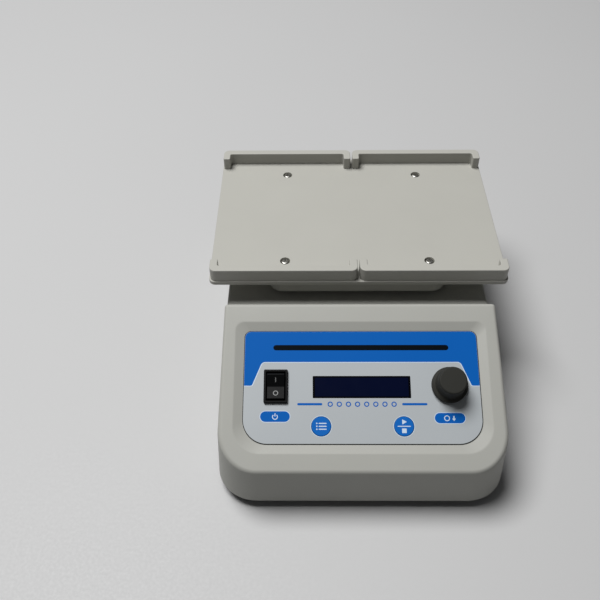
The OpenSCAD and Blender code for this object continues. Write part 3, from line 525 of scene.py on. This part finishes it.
def top_numbers(stations, start, count):
    """Vertex numbers of the top's grid: its border is the ring that begins at start, its inside is new."""
    rows = len(stations["radius"])
    grid = np.zeros((rows, ROW + 1), int)
    grid[0] = start + np.arange(ROW + 1)
    grid[1:-1, -1] = start + ROW + 1 + np.arange(rows - 2)
    grid[-1] = start + ROW + 1 + rows - 2 + np.arange(ROW + 1)[::-1]
    grid[1:-1, 0] = start + 2 * (ROW + 1) + rows - 2 + np.arange(rows - 2)[::-1]
    inside = grid[1:-1, 1:-1]
    inside[:] = count + np.arange(inside.size).reshape(inside.shape)
    edge = stations["centre"] + stations["radius"][:, None] * stations["up"]
    a = np.linspace(-1, 1, ROW + 1)[None, 1:-1, None]
    yz = np.broadcast_to(edge[1:-1, None, 1:], (rows - 2, ROW - 1, 2))
    points = np.concatenate([edge[1:-1, None, :1] * a, yz], 2)
    return grid, points.reshape(-1, 3)


def recess_loop(half_w, half_l, low, high, last):
    """Outline of the panel's recess with one point for each point round the slope's border."""
    up = last - CORNER - TOP_BEND
    parts = [
        np.array([(-half_w + low, -half_l)]),
        run((-half_w + low, -half_l), (half_w - low, -half_l), ROW),
        arc((half_w - low, -half_l + low), low, -90, 0, CORNER),
        run((half_w, -half_l + low), (half_w, half_l - high), up),
        arc((half_w - high, half_l - high), high, 0, 90, 2 * TOP_BEND),
        run((half_w - high, half_l), (-half_w + high, half_l), ROW - 2 * TOP_BEND),
        arc((-half_w + high, half_l - high), high, 90, 180, 2 * TOP_BEND),
        run((-half_w, half_l - high), (-half_w, -half_l + low), up),
        arc((-half_w + low, -half_l + low), low, 180, 270, CORNER)[:-1]]
    return np.concatenate(parts) + np.array(FILM_MIDDLE)


def housing_shell():
    """The moulded housing: outer face with the panel's recess, inner face, and the lip that joins them."""
    outer, stations, last = shell_side(0.0, 0.0, 3.4, 2.3, LIP_Z)
    n = len(outer[0])
    lip = []
    foot = outer[-1]
    for inset_by, z in ((0.25, SKIRT_Z + 0.25), (0.8, SKIRT_Z)):
        shrink = 1 - inset_by / np.array((HALF_W, HALF_D))
        lip.append(np.column_stack([foot[:, :2] * shrink, np.full(n, z)]))
    inner, inner_stations, _ = shell_side(WALL, PANEL_WALL, 0.3, 0.3, SKIRT_Z)
    rings = outer + lip + inner[::-1]
    points = list(rings)
    number = np.arange(len(rings) * n).reshape(-1, n)
    faces = [q for k in range(len(rings) - 1) for q in strips(number[k + 1], number[k]).tolist()]

    # Outer top: from the crest back it is a grid, and the slope is lofted down to the recess
    count = len(rings) * n
    grid, extra = top_numbers(stations, 0, count)
    points.append(extra)
    count += len(extra)
    for j in range(last, len(grid) - 1):
        faces += strips(grid[j], grid[j + 1], wrap=False).tolist()
    border = np.concatenate([grid[0], grid[1:last + 1, -1], grid[last, -2::-1], grid[last - 1:0:-1, 0]])
    half_w, half_l = FILM_W / 2 + FILM_GAP, FILM_L / 2 + FILM_GAP
    before = border
    for t, w in ((1.09, 0.0), (1.0, -0.05), (0.92, -0.18), (0.06, -1.9), (0.0, FLOOR_W)):
        loop = recess_loop(half_w + BEVEL_W * t, half_l + BEVEL_W * t, 16 + 2 * t, 5 + t, last)
        flat = (np.column_stack([loop, np.full(len(loop), w)]), [])
        points.append(on_panel(flat)[0])
        ring = count + np.arange(len(loop))
        faces += strips(before, ring).tolist()
        before, count = ring, count + len(loop)
    faces.append(before.tolist())

    # Inner top: a plain grid
    grid, extra = top_numbers(inner_stations, (len(rings) - 1) * n, count)
    points.append(extra)
    for j in range(len(grid) - 1):
        faces += strips(grid[j + 1], grid[j], wrap=False).tolist()
    return np.concatenate(points), faces


def panel_openings(window, key_r, low, high):
    """Cutters for the window, the switch, the keys and the knob's bushing, from height low to high."""
    shapes = [box_outline(*window, at=WINDOW_AT), box_outline(*ROCKER_HOLE, at=ROCKER_AT),
              circle(key_r, (-KEY_X, KEY_S)), circle(key_r, (KEY_X, KEY_S)), circle(BUSHING_R, KNOB_AT)]
    return [on_panel(slab(s, low, high)) for s in shapes]


def build_housing():
    """The shell with its openings in the panel, the deck and the rear wall."""
    obj = mesh("housing_shell", housing_shell())
    drive = np.array(joints["drive_spin"]["pos_m"]) / MM
    cutters = panel_openings((66.4, 16.4, 1.0), 6.8, -14.0, 4.0)
    cutters.append(slab(circle(SEAL_HOLE_R, drive[:2]), DECK_Z - 6, DECK_Z + 6))
    for name in ("front_left", "front_right", "rear_left", "rear_right"):
        at = np.array(joints[f"guide_{name}_spin"]["pos_m"]) / MM
        cutters.append(slab(circle(GUIDE_HOLE_R, at[:2]), DECK_Z - 6, DECK_Z + 6))
    inlet = middle("power_inlet")
    pocket = slab(box_outline(*INLET_HOLE), -10, 12)
    cutters.append(on_rear(pocket, (inlet[0], HALF_D - 4.5, inlet[2])))
    for i in range(VENTS):
        slot = slab(box_outline(VENT_W, VENT_H, VENT_W / 2 - 0.05), -12, 12)
        cutters.append(on_rear(slot, (VENT_X + VENT_STEP * i, HALF_D, VENT_Z)))
    carve(obj, cutters)
    piece(obj, "base", "housing_plastic", HOUSING_ABS, "upper_housing", angle=28)


build_housing()


# ---------- platform ----------
def rim_outline(half_w, half_d, sign):
    """U-shaped rim of a nest: a bar along the front or the rear with a short return at each end."""
    t, ret = RIM_T, RIM_RETURN
    pts = [(-half_w, -half_d, 4.5), (half_w, -half_d, 4.5), (half_w, -half_d + ret, 1.2),
           (half_w - t, -half_d + ret, 1.2), (half_w - t, -half_d + t, 1.6), (-half_w + t, -half_d + t, 1.6),
           (-half_w + t, -half_d + ret, 1.2), (-half_w, -half_d + ret, 1.2)]
    outline = rounded(pts)
    return outline if sign < 0 else -outline


def screw_places():
    """The four platform screws, from the corners of their node's box."""
    low, high = node_box("platform_screws")
    r = SCREW_HEAD_R
    return [(x, y) for x in (low[0] + r, high[0] - r) for y in (low[1] + r, high[1] - r)]


def build_platform():
    """The nest floor with its four rims, and a counterbored hole for each screw."""
    mid = (TRAY_LOW + TRAY_HIGH) / 2
    half = (TRAY_HIGH - TRAY_LOW) / 2
    under, floor_top = TRAY_LOW[2], TRAY_LOW[2] + TRAY_FLOOR_T
    floor = box_outline(2 * half[0], 2 * half[1], 4.5, at=mid[:2])
    obj = mesh("nest_tray", slab(floor, under, floor_top, 0.5, 0.5))
    nest_w = half[0] - LEDGE - NEST_GAP / 2
    rims = []
    for side in (-1, 1):
        for end in (-1, 1):
            outline = rim_outline(nest_w / 2, half[1] - LEDGE, end)
            outline = outline + mid[:2] + np.array((side * (nest_w + NEST_GAP) / 2, 0))
            rims.append(slab(outline, floor_top - 0.4, TRAY_HIGH[2], 0.7, 0.0))
    carve(obj, rims, "UNION")
    bore = [(2.2, under - 1), (2.2, floor_top - 2), (3.7, floor_top - 2), (3.7, floor_top + 1)]
    carve(obj, [turned(bore, 40, at) for at in screw_places()])
    piece(obj, "platform", "platform_plastic", TRAY_ABS, "nest_platform", angle=28)


def cross(arm, width):
    """Outline of a cross recess."""
    a, b = arm, width / 2
    return rounded([(-b, -a, 0.15), (b, -a, 0.15), (b, -b, 0.1), (a, -b, 0.15), (a, b, 0.15), (b, b, 0.1),
                    (b, a, 0.15), (-b, a, 0.15), (-b, b, 0.1), (-a, b, 0.15), (-a, -b, 0.15), (-b, -b, 0.1)], 3)


def build_platform_screws():
    """Pan heads: a straight edge, a dome and a cross recess, on short shanks."""
    low, high = node_box("platform_screws")
    under, top = low[2], high[2]
    head = rounded([(2.0, under, 0), (2.0, top - 1.8, 0), (SCREW_HEAD_R, top - 1.8, 0.15),
                    (SCREW_HEAD_R, top - 1.1, 0.4), (2.2, top, 1.2), (0.4, top, 0)], 5, closed=False)
    obj = mesh("platform_screw_set", joined(*[turned(head, 48, at) for at in screw_places()]))
    carve(obj, [slab(cross(1.75, 0.75) + np.array(at), top - 1.0, top + 1) for at in screw_places()])
    piece(obj, "platform", "screw_steel", ZINC, "platform_screws")


build_platform()
build_platform_screws()


# ---------- panel ----------
def build_film():
    """The film with its openings, and a dull dark ring of painted shade in the gap round it."""
    outline = box_outline(FILM_W, FILM_L, FILM_R_LOW, FILM_R_HIGH, at=FILM_MIDDLE, steps=12)
    obj = mesh("panel_film", on_panel(slab(outline, FLOOR_W, FACE_W, 0.12)))
    carve(obj, panel_openings((65, 15, 0.6), 6.65, FLOOR_W - 1, FACE_W + 1))
    gap = box_outline(FILM_W + 0.9, FILM_L + 0.9, FILM_R_LOW + 0.4, FILM_R_HIGH + 0.4, at=FILM_MIDDLE,
                      steps=12)
    low, high = FLOOR_W - 0.1, FLOOR_W + 0.25
    rings = [np.column_stack([o, np.full(len(o), w)]) for o, w in
             ((outline, low), (gap, low), (gap, high), (outline, high))]
    # The dark ring in the gap round the film is painted shade for the shadow there
    piece(mesh("film_gap_painted_shade", on_panel(loft(rings, wrap_rings=True))), "base", "overlay_film", PAINTED_GAP_SHADE)
    piece(obj, "base", "overlay_film", FILM, "panel_overlay")


def band_outline(grow=0.0):
    """The blue band with a leg down each side; the inner edge of a leg leans outwards."""
    low, leg, g = BAND_S - grow, LEG_S - grow, grow
    x, top = FILM_W / 2 - 0.15, FILM_S + FILM_L - 0.15
    return rounded([(-x, leg, 0.4), (-73.0 + g, leg, 1.5 + g), (-66.4 + g, low, 3.2 - g),
                    (66.4 - g, low, 3.2 - g), (73.0 - g, leg, 1.5 + g), (x, leg, 0.4), (x, top, 4.1),
                    (-x, top, 4.1)])


def printed(name, outlines, material, layer=1, body="base", w=FACE_W):
    """Print of one ink: flat shapes, each a few hundredths of a millimetre thick."""
    shapes = [on_panel(slab(o, 0.0, INK * layer), w) for o in outlines]
    piece(mesh(name, joined(*shapes)), body, "overlay_film", material)


def ring_shape(outer, inner, at, n=32):
    """Flat ring with a square section."""
    profile = [(inner, 0.0), (outer, 0.0), (outer, INK), (inner, INK)]
    return turned(profile, n, at, ring=True)


def capsule(w, h, at):
    """Rectangle with fully rounded ends."""
    return box_outline(w, h, min(w, h) / 2 - 0.01, at=at)


def build_print():
    """Band, slot line, label pills with plain signs, side bars and the row of rings under the window."""
    printed("print_band_edge", [band_outline(0.45)], PALE_INK, 0.5)
    printed("print_blue_band", [band_outline()], BLUE_INK)
    printed("print_black_line", [capsule(118, 3.7, (0, 83.15))], BLACK_INK, 2)
    pills = [((-57.3, 36.4), (19.5, 7.0)), ((57.2, 35.4), (19.9, 6.8))]
    printed("print_label_edges", [capsule(w + 0.8, h + 0.8, at) for at, (w, h) in pills], PALE_INK, 0.5)
    printed("print_label_pills", [capsule(w, h, at) for at, (w, h) in pills], BLUE_INK)
    bars = [capsule(16.5, 1.5, (-34.45, 44.6)), capsule(16.6, 1.5, (34.6, 44.6))]
    printed("print_side_bars", bars, BLUE_INK)
    wells = [ring_shape(1.75, 1.05, (x, 44.6)) for x in np.arange(-21, 21.1, 6)]
    piece(mesh("print_well_row", on_panel(joined(*wells), FACE_W)), "base", "overlay_film", BLUE_INK)
    arrow = [(59.25, 36.8, 0.1), (59.25, 35.1, 0.1), (58.4, 35.1, 0.1), (59.7, 33.5, 0.1), (61.0, 35.1, 0.1),
             (60.15, 35.1, 0.1), (60.15, 36.8, 0.1)]
    marks = [sector_ring(1.35, 1.9, (-57.3, 36.2), 125, 415), slab(capsule(0.6, 2.2, (-57.3, 37.5)), 0, INK),
             ring_shape(1.9, 1.35, (55.2, 35.3)), slab(rounded(arrow, 3), 0, INK)]
    piece(mesh("print_label_marks", on_panel(joined(*marks), FACE_W + INK)), "base", "overlay_film", PALE_INK)


def sector_ring(inner, outer, at, start, stop, n=28):
    """Flat ring that is open between two angles."""
    a = arc(at, outer, start, stop, n)
    b = arc(at, inner, stop, start, n)
    return slab(np.concatenate([a, b]), 0, INK)


def key_surface(x):
    """Round key: stem, retaining flange, straight cap and a rounded edge round a flat face."""
    edge_r = 0.35
    edge = [(KEY_R - edge_r * (1 - math.cos(a)), KEY_TOP - edge_r * (1 - math.sin(a)))
            for a in np.radians(np.linspace(0, 90, 6))]
    profile = [(2.0, -9.5), (2.0, -5.8), (8.0, -5.8), (8.0, -4.7), (KEY_R, -4.7)] + edge + [(3.0, KEY_TOP)]
    return on_panel(turned(profile, 72, (x, KEY_S)))


def build_keys():
    """The two round keys, the pale print round each, and a sign on each: a list, and play over stop."""
    keys = {"select_key": -KEY_X, "start_stop_key": KEY_X}
    for body, x in keys.items():
        piece(mesh(body + "_cap", key_surface(x)), body, "key_blue", KEY_BLUE, body)
        section = [(6.66, 0.0), (7.05, 0.0), (7.05, INK * 0.5), (6.66, INK * 0.5)]
        edge = turned(section, 72, (x, KEY_S), ring=True)
        piece(mesh(body + "_border", on_panel(edge, FACE_W)), "base", "overlay_film", PALE_INK)
    x = -KEY_X
    lines = [capsule(5.2, 0.7, (x + 0.9, KEY_S + d)) for d in (-1.9, 0, 1.9)]
    lines += [circle(0.5, (x - 2.9, KEY_S + d), 20) for d in (-1.9, 0, 1.9)]
    printed("select_key_mark", lines, PALE_INK, body="select_key", w=KEY_TOP)
    x = KEY_X
    triangle = rounded([(x - 1.2, KEY_S + 1.2, 0.2), (x + 1.9, KEY_S + 2.9, 0.2),
                        (x - 1.2, KEY_S + 4.6, 0.2)], 3)
    signs = [capsule(8.6, 0.6, (x, KEY_S)), triangle, box_outline(3.0, 3.0, 0.25, at=(x, KEY_S - 2.9))]
    printed("start_stop_key_mark", signs, PALE_INK, body="start_stop_key", w=KEY_TOP)


def build_window():
    """The pane with its black border, and the tinted view inside the border."""
    face = FACE_W + 0.02
    pane = slab(box_outline(64.9, 14.9, 0.55, at=WINDOW_AT), FLOOR_W, face, 0.1)
    piece(mesh("window_pane", on_panel(pane)), "base", "window_tint", WINDOW_EDGE, "display_window")
    view = slab(box_outline(62.0, 12.6, 0.5, at=WINDOW_AT), 0, INK)
    piece(mesh("window_view", on_panel(view, face)), "base", "display_glass", WINDOW_TINT)


def build_knob():
    """Knob: thin skirt, waist, straight grip with a rounded edge and a very slightly domed end."""
    base, high = FACE_W + 0.9, 15.0
    outside = rounded([(6.6, 0.0, 0), (12.0, 0.0, 0.3), (12.0, 2.6, 0.6), (9.9, 3.6, 0.5), (9.35, 5.2, 0.8),
                       (9.15, high, 1.2), (0.6, high + 0.05, 0)], 6, closed=False)
    profile = [(6.6, 2.4)] + [tuple(p) for p in outside]
    obj = mesh("knob_moulding", on_panel(turned(profile, 96, KNOB_AT), base))
    piece(obj, "control_knob", "knob_plastic", KNOB_SOFT, "control_knob")


def turn_up(angle):
    """Matrix that turns the panel's slope axis towards its outward axis."""
    c, s = math.cos(angle), math.sin(angle)
    return np.array(((1, 0, 0), (0, c, -s), (0, s, c)))


def build_rocker():
    """Bezel with a deep well, a V-shaped paddle that stands tilted in it, and the paddle's two marks."""
    bezel = mesh("rocker_bezel", on_panel(slab(box_outline(16.0, 22.6, 0.9, at=ROCKER_AT), FACE_W,
                                               FACE_W + 2.0, 0.5)))
    box = on_panel(slab(box_outline(13.4, 20.0, 0.5, at=ROCKER_AT), FACE_W - 14, FACE_W + 1))
    carve(bezel, [box], "UNION")
    rings = []
    for grow, w in ((0, FACE_W - 12), (0, FACE_W + 1.0), (1.1, FACE_W + 2.05), (1.3, FACE_W + 3)):
        outline = box_outline(12.2 + grow, 18.9 + grow, 0.5, at=ROCKER_AT)
        rings.append(np.column_stack([outline, np.full(len(outline), w)]))
    carve(bezel, [on_panel(loft(rings))])
    piece(bezel, "base", "black_plastic", SWITCH_BLACK, "rocker_frame")

    # Paddle: a shallow V along the slope, extruded across, then tilted about its pivot
    pivot = np.array(joints["rocker_tilt"]["pos_m"]) / MM
    half_w, reach, valley, rise = 5.8, 9.05, 1.0, math.radians(25)
    end_y, end_w = reach * math.cos(rise), reach * math.sin(rise)
    side = [(-end_y, end_w, 0.5), (0, valley, 1.6), (end_y, end_w, 0.5), (reach * 0.97, -1.5, 0.6),
            (3, -8, 1.0), (-3, -8, 1.0), (-reach * 0.97, -1.5, 0.6)]
    p, faces = slab(rounded(side, 6)[::-1], -half_w, half_w, 0.35, 0.35)
    paddle = np.column_stack([p[:, 2], p[:, 0], p[:, 1]])
    resting = turn_up(math.radians(12))

    def rocked(points):
        """Tilts points drawn round the pivot to the rest position and moves them to the panel."""
        q = points @ resting.T
        return pivot + q[:, :1] * ACROSS + q[:, 1:2] * UPHILL + q[:, 2:] * OUTWARD

    piece(mesh("rocker_button", (rocked(paddle), faces)), "rocker", "black_plastic", SWITCH_BLACK,
          "rocker_paddle")

    # Marks: a ring on the off half and a bar on the on half, each lying on its own face of the V
    face_angle = math.atan2(end_w - valley, end_y)
    bar = slab(capsule(0.6, 3.2, (0, 0)), -0.1, INK)
    ring = turned([(1.2, -0.1), (1.7, -0.1), (1.7, INK), (1.2, INK)], 40, ring=True)
    marks = []
    for sign, (points, faces) in ((1, bar), (-1, ring)):
        q = (points + np.array((0, sign * 4.6, 0.0))) @ turn_up(sign * face_angle).T
        marks.append((rocked(q + np.array((0, 0, valley))), faces))
    piece(mesh("rocker_marks", joined(*marks)), "rocker", "overlay_film", GREY_MARK)


build_film()
build_print()
build_keys()
build_window()
build_knob()
build_rocker()


# ---------- what the CAD already shapes well ----------
FINISH = {
    "base_plate": DARK_PAINT, "rubber_feet": RUBBER, "foot_screws": ZINC, "housing_screws": ZINC,
    "chassis_plate": ZINC, "chassis_pillars": GROUND_STEEL, "chassis_screws": ZINC, "motor_can": DARK_PAINT,
    "motor_stator": LAMINATION, "motor_rotor": GROUND_STEEL, "motor_bearings": GROUND_STEEL, "motor_screws": ZINC,
    "eccentric_hub": ALUMINIUM, "counterweight": ZINC, "counterweight_screws": ZINC, "hub_set_screw": EPOXY_BLACK,
    "drive_bearing": GROUND_STEEL, "carriage_plate": GREY_PAINT, "guide_top_bearings": GROUND_STEEL,
    "guide_housings": ALUMINIUM, "guide_screws": ZINC, "guide_base_bearings": GROUND_STEEL,
    "guide_crank_front_left": GROUND_STEEL, "guide_crank_front_right": GROUND_STEEL,
    "guide_crank_rear_left": GROUND_STEEL, "guide_crank_rear_right": GROUND_STEEL, "deck_seals": RUBBER,
    "display_module": MASK_GREEN, "display_glass": WINDOW_TINT, "control_board": MASK_GREEN,
    "board_components": EPOXY_BLACK, "board_screws": ZINC, "key_switches": EPOXY_BLACK, "encoder_body": ZINC,
    "encoder_nut": ZINC, "encoder_plunger": WHITE_NYLON, "encoder_shaft": GROUND_STEEL, "rocker_terminals": BRASS,
    "power_inlet": SWITCH_BLACK, "inlet_pins": GROUND_STEEL, "inlet_screws": ZINC, "fuse_drawer": SWITCH_BLACK,
    "fuse_tubes": CLEAR_GLASS, "supply_board": PAPER_BOARD, "supply_components": YELLOW_TAPE,
    "supply_standoffs": BRASS, "speed_sensor": MASK_GREEN, "wiring_harness": RED_PVC}
for name, material in FINISH.items():
    for slot in nodes[name].material_slots:
        slot.material = material


# ---------- studio ----------
def build_floor():
    """Pale table: one large square far past the view, a hair below the feet, whose faces it must not share."""
    data = bpy.data.meshes.new("table")
    s, z = 4.0, -0.0001  # metres
    data.from_pydata([(-s, -s, z), (s, -s, z), (s, s, z), (-s, s, z)], [], [(0, 1, 2, 3)])
    floor = bpy.data.objects.new("table", data)
    bpy.context.scene.collection.objects.link(floor)
    board = surface_material("matte_table_board", "#B5B5B5", "#B8B8B8", 0.6, 2.0, 0.01, patch_mm=400)
    data.materials.append(board)


def soft_light(name, place, target, size, power):
    """Round white panel of the given size in metres and power in watts, facing its target."""
    data = bpy.data.lights.new(name, "AREA")
    data.shape, data.size, data.energy = "DISK", size, power
    obj = bpy.data.objects.new(name, data)
    bpy.context.scene.collection.objects.link(obj)
    obj.location = place
    obj.rotation_euler = (Vector(target) - Vector(place)).to_track_quat("-Z", "Y").to_euler()


def build_camera():
    """The camera stands in front of the panel and looks down at the platform, a little from the left."""
    pitch, yaw, roll = math.radians(45.74), math.radians(-0.95), math.radians(-0.78)
    ahead = Vector((math.sin(yaw) * math.cos(pitch), math.cos(yaw) * math.cos(pitch), -math.sin(pitch)))
    right = Vector((math.cos(yaw), -math.sin(yaw), 0))
    up = right.cross(ahead)
    side = math.cos(roll) * right + math.sin(roll) * up
    top = -math.sin(roll) * right + math.cos(roll) * up
    turn = Matrix((side, top, -ahead)).transposed().to_4x4()
    data = bpy.data.cameras.new("camera")
    data.sensor_width, data.lens = 36.0, 45.03
    data.clip_start, data.clip_end = 0.01, 20.0
    obj = bpy.data.objects.new("camera", data)
    bpy.context.scene.collection.objects.link(obj)
    obj.matrix_world = Matrix.Translation((-0.03505, -0.3891, 0.4590)) @ turn
    bpy.context.scene.camera = obj


def build_world():
    """Dim room that lights the object a little, with a pale backdrop for the camera."""
    world = bpy.data.worlds.new("studio")
    world.use_nodes = True
    tree = world.node_tree
    seen = add(tree, "LightPath").outputs["Is Camera Ray"]
    strength = add(tree, "MapRange", {"Value": seen, 3: 0.08, 4: 0.55})
    back = tree.nodes["Background"]
    back.inputs["Color"].default_value = (0.97, 0.98, 1.0, 1)
    tree.links.new(strength.outputs[0], back.inputs["Strength"])
    bpy.context.scene.world = world


build_floor()
soft_light("ceiling_panel", (-0.8, 0.45, 2.6), (0, 0.05, 0), 1.5, 93.0)
build_camera()
build_world()
bpy.context.scene.view_settings.view_transform = "Standard"
